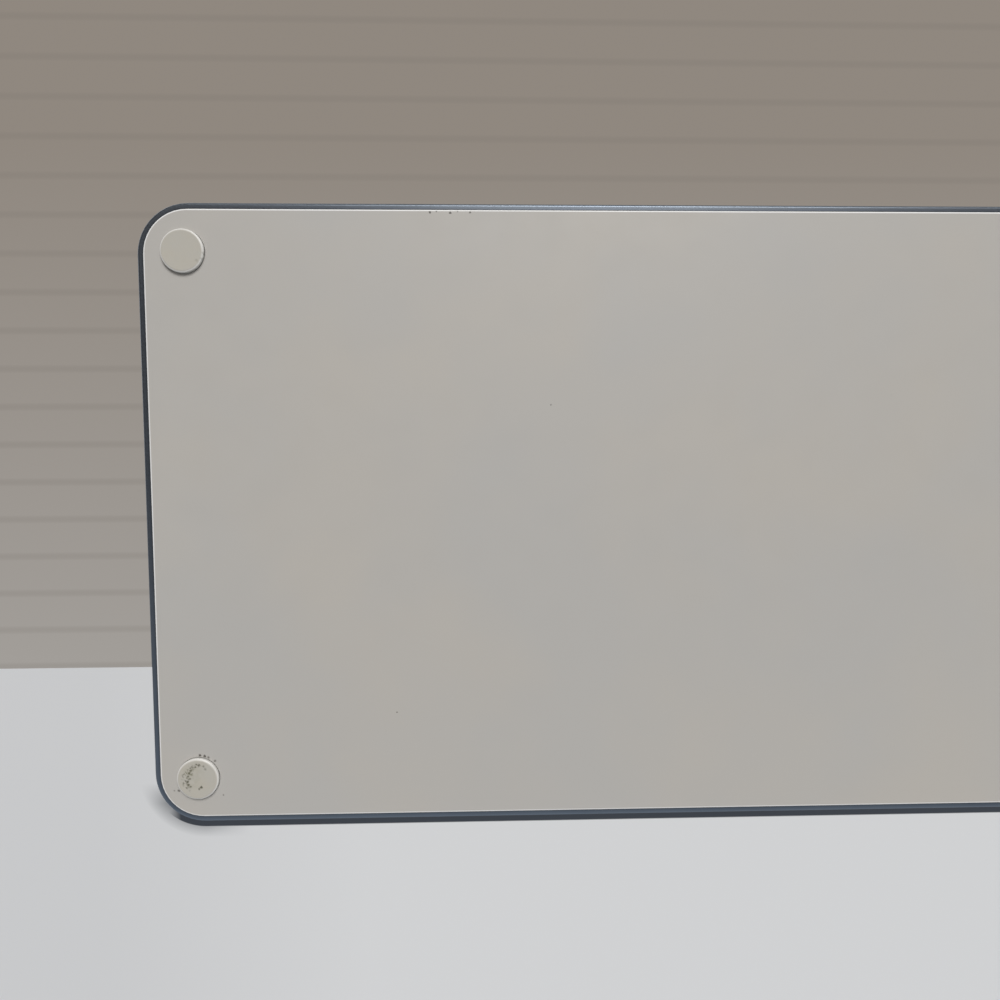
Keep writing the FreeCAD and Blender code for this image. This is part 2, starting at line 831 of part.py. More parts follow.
def make_switch_knob():
    """The power switch's knob at its off end: a ridged block on a flange, with a post into the switch."""
    x = switch_x - switch_travel / 2
    face = half_depth - knob_recess
    y_flange = flange_front()
    head = stadium(x, switch_z, knob_width, knob_height, y_flange, face)
    ridges = []
    for n in range(knob_ridges):
        middle = x + (n - (knob_ridges - 1) / 2) * knob_ridge_pitch
        ridges.append(
            block(
                middle - knob_ridge_width / 2,
                middle + knob_ridge_width / 2,
                face - knob_ridge_depth,
                face + past,
                switch_z - knob_height,
                switch_z + knob_height,
            )
        )
    head = head.cut(ridges)
    w, h = knob_width / 2 + switch_travel + knob_flange_overlap, knob_flange_height / 2
    flange = block(x - w, x + w, y_flange - knob_flange_thickness, y_flange, switch_z - h, switch_z + h)
    p = switch_post_width / 2
    post_end = y_flange - knob_flange_thickness - knob_flange_gap - switch_body_depth / 2 + knob_clearance
    post = block(x - p, x + p, post_end, y_flange - knob_flange_thickness, switch_z - p, switch_z + p)
    return head.fuse([flange, post]).removeSplitter()


def write(name, shapes):
    """One STEP file for a node, of one solid or several."""
    if not isinstance(shapes, list):
        shapes = [shapes]
    solids = [solid for shape in shapes for solid in shape.Solids]
    shape = solids[0] if len(solids) == 1 else Part.Compound(solids)
    if not all(solid.isValid() and solid.Volume > 0 for solid in solids):
        print("not a valid solid in", name)
    shape.exportStep(os.path.join("parts", name + ".step"))
    return len(solids)


def main():
    os.makedirs("parts", exist_ok=True)
    keys = lay_out_keys()
    nodes = {
        "top_case": make_top_case(keys),
        "bottom_cover": make_bottom_cover(),
        "rubber_feet": make_feet(),
        "cover_adhesive": make_cover_adhesive(),
        "key_backplate": make_backplate(),
        "circuit_membrane": make_membrane(),
        "membrane_tail": make_membrane_tail(),
        "deck_rivets": make_rivets(),
        "rubber_domes": [make_dome(key) for key in keys],
        "scissor_links": make_scissor_links(keys),
        "stabiliser_bars": [make_stabiliser(key) for key in keys if is_stabilised(key)],
        "battery_pack": make_battery(),
        "logic_board": make_logic_board(),
        "charge_port": make_port(),
        "board_screws": make_board_screws(),
        "flex_leads": make_flex_leads(),
        "switch_body": make_switch_body(),
        "power_switch_knob": make_switch_knob(),
    }
    bank_of = {name: bank for bank, names in key_banks.items() for name in names}
    for key in keys:
        node = bank_of.get(key.name, "key_" + key.name)
        nodes.setdefault(node, []).append(make_keycap(key))
    counts = {name: write(name, shapes) for name, shapes in nodes.items()}
    print(len(counts), "nodes,", sum(counts.values()), "solids,", len(keys), "keys")


main()
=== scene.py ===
import json
import math

import bpy
import numpy as np
from mathutils import Matrix, Vector

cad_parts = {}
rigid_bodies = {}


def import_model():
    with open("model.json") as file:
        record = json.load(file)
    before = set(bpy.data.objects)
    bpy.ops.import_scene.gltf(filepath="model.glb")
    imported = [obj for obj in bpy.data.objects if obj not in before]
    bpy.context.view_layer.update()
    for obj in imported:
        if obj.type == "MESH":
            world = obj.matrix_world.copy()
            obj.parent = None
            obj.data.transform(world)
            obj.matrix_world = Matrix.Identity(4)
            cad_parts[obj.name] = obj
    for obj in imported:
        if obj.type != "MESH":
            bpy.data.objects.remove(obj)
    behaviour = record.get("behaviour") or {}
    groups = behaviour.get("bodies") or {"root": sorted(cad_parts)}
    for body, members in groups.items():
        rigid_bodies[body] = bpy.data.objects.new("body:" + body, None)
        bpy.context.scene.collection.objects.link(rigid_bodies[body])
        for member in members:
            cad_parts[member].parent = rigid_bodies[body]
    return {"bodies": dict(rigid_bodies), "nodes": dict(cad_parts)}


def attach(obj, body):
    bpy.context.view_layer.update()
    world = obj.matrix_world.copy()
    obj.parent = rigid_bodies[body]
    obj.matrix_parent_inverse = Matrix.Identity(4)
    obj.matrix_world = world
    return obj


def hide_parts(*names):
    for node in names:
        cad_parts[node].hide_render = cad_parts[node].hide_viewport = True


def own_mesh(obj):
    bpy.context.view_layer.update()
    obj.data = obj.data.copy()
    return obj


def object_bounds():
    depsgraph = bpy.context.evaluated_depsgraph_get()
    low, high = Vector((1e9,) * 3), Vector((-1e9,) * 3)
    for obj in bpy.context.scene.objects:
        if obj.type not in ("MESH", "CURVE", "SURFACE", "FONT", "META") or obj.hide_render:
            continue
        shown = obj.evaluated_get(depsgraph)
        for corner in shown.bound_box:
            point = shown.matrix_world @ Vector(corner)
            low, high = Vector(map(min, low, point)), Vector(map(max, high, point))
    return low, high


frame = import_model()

cad_low, cad_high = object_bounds()
mm = 0.001

# The camera. It is held under the keyboard's right half, about 14 cm below the white cover, and looks
# up with a slight lean to the front. The rear edge is at the top of its picture.
camera = bpy.data.objects.new("camera", bpy.data.cameras.new("camera"))
bpy.context.scene.collection.objects.link(camera)
bpy.context.scene.camera = camera
camera_right = Vector((-0.99961, -0.00432, -0.02761))
camera_up = Vector((-0.00607, 0.99796, 0.06362))
camera_back = camera_right.cross(camera_up)
camera_place = Vector((77.9, 12.34, -138.58)) * mm
camera_turn = Matrix((camera_right, camera_up, camera_back)).transposed()
camera.matrix_world = Matrix.Translation(camera_place) @ camera_turn.to_4x4()
camera.data.sensor_width = 36.0
camera.data.lens = 27.04
camera.data.clip_start = 0.005

# The floor and the table. The floor is the desk that the feet stand on. The table is what a camera that
# looks up past the body sees beyond its front edge, just under the desk. Each shows from one side only.
scene = bpy.context.scene
scene.view_settings.view_transform = "Standard"


class Wiring:
    """A node tree, with one short call for each kind of node that the room and the finishes need."""

    def __init__(self, tree):
        self.nodes, self.links = tree.nodes, tree.links
        self.nodes.clear()

    def add(self, kind, **settings):
        """A new node of that kind."""
        node = self.nodes.new("ShaderNode" + kind)
        for name, value in settings.items():
            setattr(node, name, value)
        return node

    def feed(self, socket, term):
        """Puts a number, a colour, a vector or another node's output into a socket."""
        if isinstance(term, bpy.types.NodeSocket):
            self.links.new(term, socket)
        elif isinstance(term, tuple) and len(socket.default_value) == 4:
            socket.default_value = (*term, 1)
        else:
            socket.default_value = term

    def ramp(self, value, low, high, to_low=0.0, to_high=1.0):
        """value, from low to high, carried over to the range to_low to to_high and clamped."""
        node = self.add("MapRange")
        for socket, term in zip(node.inputs[:5], (value, low, high, to_low, to_high)):
            self.feed(socket, term)
        return node.outputs[0]

    def math(self, operation, *terms):
        """One step of arithmetic on one to three terms."""
        node = self.add("Math", operation=operation)
        for socket, term in zip(node.inputs, terms):
            self.feed(socket, term)
        return node.outputs[0]

    def blend(self, amount, first, second):
        """A colour between two."""
        node = self.add("Mix", data_type="RGBA")
        for number, term in ((0, amount), (6, first), (7, second)):
            self.feed(node.inputs[number], term)
        return node.outputs[2]

    def vector(self, operation, *terms):
        """The same on one or two vectors; a length or a distance comes out as a number."""
        node = self.add("VectorMath", operation=operation)
        for socket, term in zip(node.inputs, terms):
            self.feed(socket, term)
        return node.outputs["Value" if operation in ("LENGTH", "DISTANCE") else "Vector"]

    def parts(self, vector):
        """The x, y and z of a vector."""
        node = self.add("SeparateXYZ")
        self.feed(node.inputs[0], vector)
        return node.outputs[0], node.outputs[1], node.outputs[2]

    def beyond(self, plan, half_x, half_y, corner):
        """Distance in plan outside a rectangle with round corners: negative inside it."""
        past = self.vector("SUBTRACT", self.vector("ABSOLUTE", plan), (half_x - corner, half_y - corner, 0))
        past = self.vector("LENGTH", self.vector("MAXIMUM", past, (0, 0, 0)))
        return self.math("SUBTRACT", past, corner)


def one_sided(name, color_of, roughness):
    """A surface that a camera sees only from the side its normal points to."""
    material = bpy.data.materials.new(name)
    material.use_nodes = True
    wiring = Wiring(material.node_tree)
    matt = wiring.add("BsdfPrincipled")
    wiring.feed(matt.inputs["Base Color"], color_of(wiring))
    wiring.feed(matt.inputs["Roughness"], roughness)
    mix = wiring.add("MixShader")
    output = wiring.add("OutputMaterial")
    wiring.feed(mix.inputs[0], wiring.add("NewGeometry").outputs["Backfacing"])
    wiring.feed(mix.inputs[1], matt.outputs[0])
    wiring.feed(mix.inputs[2], wiring.add("BsdfTransparent").outputs[0])
    wiring.feed(output.inputs["Surface"], mix.outputs[0])
    return material


def flat_sheet(name, corners, color_of, roughness):
    """Corners in order, as one face whose normal follows the right-hand rule. It throws no shadow, and
    only the camera sees it."""
    mesh = bpy.data.meshes.new(name)
    mesh.from_pydata(corners, [], [tuple(range(len(corners)))])
    sheet = bpy.data.objects.new(name, mesh)
    scene.collection.objects.link(sheet)
    mesh.materials.append(one_sided(name, color_of, roughness))
    sheet.visible_shadow = False
    sheet.visible_diffuse = False
    sheet.visible_glossy = False
    sheet.visible_transmission = False
    return sheet


def desk_color(wiring):
    """A plain pale desk."""
    return (0.72, 0.73, 0.74)


def desk_part(x0, x1, y0, y1):
    """The corners of a rectangle of the desk, anticlockwise as seen from above."""
    return [(x, y, desk_level) for x, y in ((x0, y0), (x1, y0), (x1, y1), (x0, y1))]


reach = 4.0
desk_level = -0.02 * mm
flat_sheet("desk", desk_part(-reach, reach, -reach, reach), desk_color, 0.9)

# the metal's side walls show the desk that lies beyond a narrow margin round the body
sheen_margin = 4 * mm
near_x = cad_high.x + sheen_margin
near_y = cad_high.y + sheen_margin
for edges in (
    (-reach, -near_x, -reach, reach),
    (near_x, reach, -reach, reach),
    (-near_x, near_x, near_y, reach),
    (-near_x, near_x, -reach, -near_y),
):
    mirrored = flat_sheet("desk_mirrored", desk_part(*edges), desk_color, 0.9)
    mirrored.visible_camera = False
    mirrored.visible_glossy = True

# lines of sight that pass the lower rim meet the table's level a little nearer to the camera's foot
rim_level = 1.75 * mm
table_level = -0.03 * mm
wall_foot = -27.6 * mm
body_corner = 9.3 * mm
camera_foot = Vector((camera_place.x, camera_place.y, 0))
sight_scale = camera_place.z / (camera_place.z - rim_level)

# on the table, a painted shadow and reflection of the body lies as a dark strip along its front edge,
# and a painted shadow fades round its corners
shadow_strip_edge = (1.22 * mm, 1.02 * mm)
shadow_strip_end = (139 * mm, 135 * mm)
corner_shadow_edge = (3.2 * mm, 0.2 * mm)
corner_shadow_strength = 0.6
corner_shadow_front = (-50 * mm, -54 * mm)
corner_shadow_end = (122 * mm, 130 * mm)
table_side = (100 * mm, 150 * mm)
table_pale = (0.732, 0.748, 0.762)
table_dim = (0.668, 0.682, 0.697)
table_shade = (0.026, 0.032, 0.042)


def seen_past(x, y):
    """Where the line of sight through (x, y) at the rim's level meets the table: foot + s (p - foot)."""
    point = camera_foot + (Vector((x, y, 0)) - camera_foot) * sight_scale
    return (point.x, point.y, table_level)


def table_color(wiring):
    """Pale, and dimmer to the sides. The painted shadow strip and the painted corner shadow follow the
    distance from the body's outline, a rectangle with round corners, as it is seen."""
    spot = wiring.add("TexCoord").outputs["Object"]
    spot = wiring.vector("MULTIPLY", spot, (1 / sight_scale, 1 / sight_scale, 0))
    spot = wiring.vector("ADD", spot, tuple(camera_foot * (1 - 1 / sight_scale)))
    x, y, _ = wiring.parts(spot)
    across = wiring.math("ABSOLUTE", x)
    beyond = wiring.beyond(spot, cad_high.x, cad_high.y, body_corner)
    # the dark strip is a painted shadow and reflection of the body
    strip = wiring.math("MULTIPLY", wiring.ramp(beyond, *shadow_strip_edge), wiring.ramp(across, *shadow_strip_end))
    # a painted shadow of the body round its corners
    corner_shadow = wiring.ramp(beyond, *corner_shadow_edge, 0.0, corner_shadow_strength)
    corner_shadow = wiring.math("MULTIPLY", corner_shadow, wiring.ramp(y, *corner_shadow_front))
    corner_shadow = wiring.math("MULTIPLY", corner_shadow, wiring.ramp(across, *corner_shadow_end))
    pale = wiring.blend(wiring.ramp(across, *table_side), table_pale, table_dim)
    return wiring.blend(wiring.math("MAXIMUM", strip, corner_shadow), pale, table_shade)


def front_outline():
    """The body's front edge between its two sides, as a line with round corners."""
    turns = [math.radians(angle) for angle in range(0, 91, 6)]
    side, front = cad_high.x - body_corner, cad_high.y - body_corner
    corner = [(side + body_corner * math.sin(a), -front - body_corner * math.cos(a)) for a in turns]
    return [(-x, y) for x, y in corner[::-1]] + corner


past_body = [(-cad_high.x, wall_foot)] + front_outline() + [(cad_high.x, wall_foot)]
past_sides = [(reach, wall_foot), (reach, -reach), (-reach, -reach), (-reach, wall_foot)]
flat_sheet("table", [seen_past(x, y) for x, y in past_body + past_sides], table_color, 0.6)

# The light. Soft distant lamps over the keys, under the cover and at the rear, and a pale room all round.
# Low down it gives a dim light, warm from behind and cool from the front, where the metal mirrors it
# brightly. A camera that looks up past the body sees a wall of ribbed board, which stands on the table.
pale_light = (0.48, 0.49, 0.50)
warm_light = (0.225, 0.200, 0.180)
cool_light = (0.235, 0.250, 0.270)
warm_dim = (0.138, 0.117, 0.102)
cool_bright = (0.90, 1.00, 1.12)
low_air = (0.76, 0.77, 0.785)
high_air = (0.62, 0.63, 0.645)
board_low = (0.360, 0.340, 0.318)
board_high = (0.278, 0.245, 0.213)
board_groove = (0.20, 0.18, 0.16)
board_span = (-0.28, 0.40)
rib_pitch = 0.049
rib_strength = 0.22

world = bpy.data.worlds.new("room")
scene.world = world
world.use_nodes = True
room = Wiring(world.node_tree)
_, toward_rear, toward_top = room.parts(room.add("TexCoord").outputs["Generated"])
path = room.add("LightPath").outputs


def ribbed_board():
    """The wall's colour, darker with height, where height goes as toward_rear over toward_top. Its
    ribs are grooves at an even pitch, at the crests of a sine."""
    height = room.math("DIVIDE", toward_rear, room.math("MAXIMUM", toward_top, 0.1))
    plain = room.blend(room.ramp(height, *board_span), board_low, board_high)
    wave = room.math("SINE", room.math("MULTIPLY", height, 2 * math.pi / rib_pitch))
    return room.blend(room.ramp(wave, 0.75, 1.0, 0.0, rib_strength), plain, board_groove)


# what falls on matt surfaces
below = room.ramp(toward_top, -0.05, -0.35)
ahead = room.ramp(toward_rear, -0.10, -0.45)
room_light = room.add("Background")
dim_light = room.blend(ahead, warm_light, cool_light)
room.feed(room_light.inputs["Color"], room.blend(below, pale_light, dim_light))

# what the camera sees, also as a reflection or through clear plastic
dim_room = room.blend(ahead, warm_dim, cool_bright)
high_room = room.blend(room.ramp(toward_top, 0.02, 0.40), low_air, high_air)
looking_up = room.math("MULTIPLY", path["Is Camera Ray"], room.ramp(toward_top, 0.50, 0.60))
high_room = room.blend(looking_up, high_room, ribbed_board())
room_seen = room.add("Background")
room.feed(room_seen.inputs["Color"], room.blend(below, high_room, dim_room))

seen = room.math("MAXIMUM", path["Is Camera Ray"], path["Is Glossy Ray"])
seen = room.math("MAXIMUM", seen, path["Is Transmission Ray"])
room_mix = room.add("MixShader")
for socket, term in zip(room_mix.inputs, (seen, room_light.outputs[0], room_seen.outputs[0])):
    room.feed(socket, term)
room.feed(room.add("OutputWorld").inputs["Surface"], room_mix.outputs[0])


def soft_sun(name, towards, strength, spread):
    """A distant lamp of that strength, seen in the direction towards, with soft shadows."""
    light = bpy.data.lights.new(name, "SUN")
    light.energy = strength
    light.angle = math.radians(spread)
    lamp = bpy.data.objects.new(name, light)
    scene.collection.objects.link(lamp)
    lamp.rotation_mode = "QUATERNION"
    lamp.rotation_quaternion = Vector(towards).to_track_quat("Z", "Y")
    return lamp


soft_sun("lamp_under", (-0.16, 0.60, -0.78), 2.44, 30)
soft_sun("lamp_rear", (-0.05, 0.97, -0.25), 0.12, 50)
soft_sun("lamp_over", (-0.45, -0.30, 0.84), 1.60, 40)
soft_sun("lamp_over_right", (0.60, 0.45, 0.66), 0.40, 60)

# The bottom cover. A thin moulded plate of satin white plastic, bonded inside the aluminium rim and
# standing slightly proud of it, with a smooth round edge, painted paler as a highlight. It has yellowed,
# and carries specks and scuffs.
cover_inset = 1.2
cover_corner = 8.1
# the band along the cover's outline that is painted paler, as a highlight on its round edge
edge_highlight_band = (-0.34 * mm, -0.24 * mm)
cover_marks = [
    # x, y, radius in mm, darkness
    (64.6, 21.0, 0.20, 0.95),
    (93.7, -36.6, 0.18, 0.8),
    (86.6, 55.75, 0.26, 0.85),
    (85.4, 55.9, 0.22, 0.7),
    (82.9, 55.65, 0.26, 0.9),
    (81.6, 55.9, 0.18, 0.6),
    (79.3, 55.8, 0.24, 0.8),
    (130.75, -44.35, 0.34, 0.95),
    (129.9, -44.55, 0.34, 0.85),
    (129.2, -44.8, 0.26, 0.7),
    (128.0, -45.5, 0.28, 0.7),
    (126.6, -52.1, 0.2, 0.5),
    (134.6, -47.3, 0.22, 0.7),
    (134.75, -48.6, 0.3, 0.9),
    (134.2, -50.95, 0.36, 0.95),
    (134.9, -51.15, 0.26, 0.75),
    (135.7, -51.15, 0.2, 0.5),
]


class Finish(Wiring):
    """A material on Object coordinates: a Principled shader and what feeds it."""

    def __init__(self, name):
        self.material = bpy.data.materials.new(name)
        self.material.use_nodes = True
        super().__init__(self.material.node_tree)
        self.shader = self.add("BsdfPrincipled")
        self.feed(self.add("OutputMaterial").inputs["Surface"], self.shader.outputs[0])
        self.place = self.add("TexCoord").outputs["Object"]
        self.plan = self.vector("MULTIPLY", self.place, (1, 1, 0))

    def set(self, name, value):
        """Puts a constant, or another node's output, into one of the shader's sockets."""
        self.feed(self.shader.inputs[name], value)

    def noise(self, size, detail=2.0, at=None):
        """Noise whose features are about size metres across, from 0 to 1."""
        node = self.add("TexNoise")
        self.feed(node.inputs["Scale"], 1 / size)
        self.feed(node.inputs["Detail"], detail)
        self.feed(node.inputs["Vector"], self.place if at is None else at)
        return node.outputs["Fac"]

    def away(self, x, y):
        """Distance in plan from a point given in mm."""
        return self.vector("DISTANCE", self.plan, (x * mm, y * mm, 0))

    def outside(self, inset, corner):
        """Distance in plan outside the body's outline moved in by inset, with that corner radius in mm."""
        return self.beyond(self.plan, cad_high.x - inset * mm, cad_high.y - inset * mm, corner * mm)

    def spots(self, marks, soft, ragged):
        """The darkest of several round marks at a point, their outlines made ragged by a noise."""
        wander = self.math("SUBTRACT", self.noise(0.35 * mm, 3.0), 0.5)
        wander = self.math("MULTIPLY", wander, ragged * mm)
        total = None
        for x, y, radius, darkness in marks:
            apart = self.math("ADD", self.away(x, y), wander)
            here = self.ramp(apart, radius * mm * (1 - soft), radius * mm, darkness, 0.0)
            total = here if total is None else self.math("MAXIMUM", total, here)
        return total

    def bump(self, height, depth, strength=1.0, below=None):
        """Relief of that depth in metres, over another relief if one is given."""
        node = self.add("Bump")
        self.feed(node.inputs["Strength"], strength)
        self.feed(node.inputs["Distance"], depth)
        self.feed(node.inputs["Height"], height)
        if below is not None:
            self.feed(node.inputs["Normal"], below)
        return node.outputs["Normal"]

    def turned_out(self, start, end):
        """0 where the surface faces the desk, rising to 1 where it turns away towards its edge."""
        _, _, up = self.parts(self.add("NewGeometry").outputs["Normal"])
        return self.ramp(up, start, end)


def cover_plastic():
    """White plastic with faint warm and cool clouds, a painted highlight along its edge, tiny scattered
    specks and the marks above.
    """
    f = Finish("cover_plastic")
    clouds = f.ramp(f.noise(45 * mm, 3.0), 0.38, 0.62)
    color = f.blend(clouds, (0.492, 0.470, 0.432), (0.474, 0.463, 0.440))
    haze = f.ramp(f.noise(14 * mm, 4.0), 0.45, 0.75, 0.0, 0.10)
    color = f.blend(haze, color, (0.430, 0.430, 0.425))
    # a paler band along the cover's outline: a painted highlight on its round edge
    edge = f.ramp(f.outside(cover_inset, cover_corner), *edge_highlight_band)
    color = f.blend(edge, color, (0.82, 0.82, 0.81))
    dust = f.ramp(f.noise(0.5 * mm, 2.0), 0.80, 0.86, 0.0, 0.5)
    marks = f.math("MAXIMUM", f.spots(cover_marks, 0.45, 0.45), dust)
    color = f.blend(marks, color, (0.075, 0.068, 0.055))
    f.set("Base Color", color)
    f.set("Roughness", f.ramp(f.noise(6 * mm, 3.0), 0.3, 0.7, 0.45, 0.58))
    f.set("IOR", 1.49)
    grain = f.bump(f.noise(0.35 * mm, 2.0), 0.006 * mm, 0.5)
    f.set("Normal", f.bump(f.noise(18 * mm, 1.0), 0.04 * mm, 0.4, grain))
    return f.material


def dress(node, material):
    """Gives a CAD node one finish all over."""
    mesh = frame["nodes"][node].data
    mesh.materials.clear()
    mesh.materials.append(material)


dress("bottom_cover", cover_plastic())

# The four feet. Discs of pale rubber pressed into shallow seats, with a narrow bevel, proud of the
# cover. Their bevel is painted lighter, as a highlight. The rubber has picked up dirt: an arc of dark
# olive specks on one foot, and grime round it.
foot_radius = 3.9
foot_face_radius = 3.52
foot_hollow = 0.015
foot_bevel = math.radians(28)
foot_edge = 0.08
foot_top = 1.2
foot_x = 131.05
foot_y = 48.65
foot_places = [(sx * foot_x, sy * foot_y) for sy in (-1, 1) for sx in (-1, 1)]
foot_marks = [
    # x, y, radius in mm, darkness
    (131.1, -45.75, 0.30, 0.8),
    (130.7, -45.95, 0.34, 0.9),
    (131.35, -46.25, 0.30, 0.8),
    (131.9, -46.35, 0.26, 0.6),
    (132.2, -46.9, 0.36, 0.85),
    (132.5, -47.45, 0.38, 0.95),
    (132.1, -47.7, 0.30, 0.7),
    (132.75, -48.0, 0.28, 0.8),
    (132.5, -48.55, 0.34, 0.75),
    (132.85, -49.1, 0.36, 0.95),
    (132.75, -49.7, 0.34, 0.95),
    (132.35, -50.05, 0.26, 0.8),
    (129.9, -46.15, 0.30, 0.55),
    (129.5, -46.7, 0.32, 0.45),
    (130.35, -50.15, 0.32, 0.95),
    (130.75, -50.5, 0.28, 0.8),
    (127.2, 48.2, 0.34, 0.30),
    (127.5, 47.2, 0.34, 0.26),
    (128.4, 46.9, 0.34, 0.22),
]


def grid_faces(rows, columns, along=False):
    """Faces between neighbours on a grid that is closed around each row, and along if asked."""
    index = np.arange(rows * columns).reshape(rows, columns)
    index = np.hstack([index, index[:, :1]])
    if along:
        index = np.vstack([index, index[:1]])
    corners = [index[:-1, :-1], index[:-1, 1:], index[1:, 1:], index[1:, :-1]]
    return [tuple(face) for face in np.stack(corners, axis=-1).reshape(-1, 4).tolist()]


def end_faces(rows, columns):
    """The two faces that close the ends of such a grid."""
    last = (rows - 1) * columns
    return [tuple(range(columns))[::-1], tuple(range(last, last + columns))]


def turned(profile, around=48):
    """A profile of (radius, height) pairs turned about Z, with closed ends: x = r cos a, y = r sin a."""
    r, z = np.array(profile, float).T
    a = np.linspace(0, 2 * np.pi, around, endpoint=False)
    heights = np.outer(z, np.ones(around))
    points = np.stack([np.outer(r, np.cos(a)), np.outer(r, np.sin(a)), heights], axis=-1)
    faces = grid_faces(len(r), around) + end_faces(len(r), around)
    return points.reshape(-1, 3), faces


def make_piece(name, shapes, material, body, smooth=False):
    """One mesh from several (points in mm, faces) shapes, with its finish, on its body."""
    points, faces, start = [], [], 0
    for shape_points, shape_faces in shapes:
        points.append(np.asarray(shape_points, float))
        faces += [tuple(start + n for n in face) for face in shape_faces]
        start += len(points[-1])
    mesh = bpy.data.meshes.new(name)
    mesh.from_pydata(np.concatenate(points) * mm, [], faces)
    mesh.polygons.foreach_set("use_smooth", [smooth] * len(mesh.polygons))
    mesh.materials.append(material)
    mesh.update()
    piece = bpy.data.objects.new(name, mesh)
    scene.collection.objects.link(piece)
    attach(piece, body)
    return piece


def foot_profile():
    """From the desk face out, up the bevel, round into the wall and up to the seat."""
    face = [(foot_face_radius * share, foot_hollow * (1 - share**4)) for share in (0.5, 0.8, 0.99, 1.0)]
    bevel_end = foot_radius - foot_edge
    bevel_height = (bevel_end - foot_face_radius) * math.tan(foot_bevel)
    # points close together on both sides of the edge round it off
    bevel = [(bevel_end - 0.03, bevel_height - 0.016), (bevel_end, bevel_height)]
    turn = [(foot_radius - 0.02, bevel_height + 0.06), (foot_radius, bevel_height + 0.14)]
    return face + bevel + turn + [(foot_radius, foot_top)]


def foot_rubber():
    """Pale grey-green rubber, matt on its face, smoother on its bevel, with a painted highlight on the
    bevel, and the marks above.
    """
    f = Finish("foot_rubber")
    tone = f.ramp(f.noise(3.5 * mm, 3.0), 0.35, 0.65)
    color = f.blend(tone, (0.488, 0.462, 0.400), (0.478, 0.462, 0.414))
    # the bevel is painted much lighter: a painted highlight
    bevel = f.turned_out(-0.97, -0.90)
    color = f.blend(bevel, color, (0.70, 0.69, 0.66))
    x, y, _ = f.parts(f.vector("SUBTRACT", f.place, (foot_x * mm, -foot_y * mm, 0)))
    middle = f.away(foot_x, -foot_y)
    ring = f.ramp(middle, 1.5 * mm, 2.0 * mm)
    ring = f.math("MULTIPLY", ring, f.ramp(middle, 3.1 * mm, 2.7 * mm))
    outer_side = f.ramp(f.math("ADD", x, f.math("MULTIPLY", y, 0.25)), 0.6 * mm, 1.4 * mm)
    grit = f.ramp(f.noise(0.42 * mm, 3.0), 0.48, 0.62, 0.0, 0.7)
    grit = f.math("MULTIPLY", grit, f.math("MULTIPLY", ring, outer_side))
    dirt = f.math("MAXIMUM", grit, f.spots(foot_marks, 0.6, 0.55))
    color = f.blend(dirt, color, (0.095, 0.092, 0.060))
    stained = f.ramp(f.away(132.0, -48.2), 0.3 * mm, 2.6 * mm, 0.4, 0.0)
    stain = f.math("MULTIPLY", stained, f.ramp(f.noise(1.6 * mm, 3.0), 0.4, 0.6))
    color = f.blend(stain, color, (0.290, 0.275, 0.170))
    f.set("Base Color", color)
    f.set("Roughness", f.ramp(bevel, 0.0, 1.0, 0.60, 0.34))
    f.set("Normal", f.bump(f.noise(0.25 * mm, 3.0), 0.008 * mm, 0.5))
    return f.material


foot_points, foot_faces = turned(foot_profile())
foot_shapes = [(foot_points + (x, y, 0), foot_faces) for x, y in foot_places]
feet = make_piece("feet", foot_shapes, foot_rubber(), "case", smooth=True)
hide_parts("rubber_feet")

# The top case. One block of aluminium, milled out, bead blasted and anodised slate blue. Its lower rim
# frames the cover, and the keys stand in openings of its deck.
rim_width = 1.1
rim_top = 2.5
# painted shade on the lower rim where it meets the cover
seam_width = 0.5
seam_shade_strength = 0.30


def anodised(name, color):
    """Bead-blasted anodised aluminium: satin metal with a very fine grain, with painted shade along the
    lower rim's inner edge, where it meets the cover."""
    f = Finish(name)
    tone = f.ramp(f.noise(9 * mm, 3.0), 0.3, 0.7)
    color = f.blend(tone, color, tuple(0.93 * c for c in color))
    _, _, z = f.parts(f.place)
    low = f.ramp(z, rim_top * mm, 0.9 * rim_top * mm)
    # painted shade on the rim's inner edge next to the cover, low down only
    seam_shade = f.ramp(f.outside(rim_width, cover_corner), 0.0, seam_width * mm, seam_shade_strength, 0.0)
    f.set("Base Color", f.blend(f.math("MULTIPLY", seam_shade, low), color, (0.020, 0.020, 0.024)))
    f.set("Metallic", 1.0)
    f.set("Roughness", f.ramp(f.noise(0.3 * mm, 3.0), 0.3, 0.7, 0.34, 0.44))
    f.set("Normal", f.bump(f.noise(0.12 * mm, 2.0), 0.004 * mm, 0.6))
    return f.material


slate_blue = anodised("slate_blue_anodising", (0.122, 0.139, 0.162))
dress("top_case", slate_blue)
dress("power_switch_knob", slate_blue)

# The power switch's band. Green paint on the knob's flange, which shows through the slot beside the
# knob once it is slid to on.
rear = cad_high.y / mm
flange_setback = 2.45
flange_face = rear - flange_setback
knob_left = 78.5
band_width = 2.6
band_bottom = 4.25
band_top = 6.55
paint_gap = 0.02
paint_thickness = 0.05


def slab(low, high):
    """A plain block between two corners, with its eight corners in two rings of four."""
    (x0, y0, z0), (x1, y1, z1) = low, high
    ring = [(x0, y0), (x1, y0), (x1, y1), (x0, y1)]
    points = np.array([(x, y, z) for z in (z0, z1) for x, y in ring], float)
    return points, grid_faces(2, 4) + end_faces(2, 4)


def green_paint():
    """A thin coat of bright green paint."""
    f = Finish("green_paint")
    f.set("Base Color", f.blend(f.noise(0.8 * mm), (0.055, 0.420, 0.110), (0.045, 0.370, 0.095)))
    f.set("Roughness", f.ramp(f.noise(0.4 * mm), 0.3, 0.7, 0.40, 0.55))
    f.set("Normal", f.bump(f.noise(0.2 * mm), 0.005 * mm, 0.4))
    return f.material


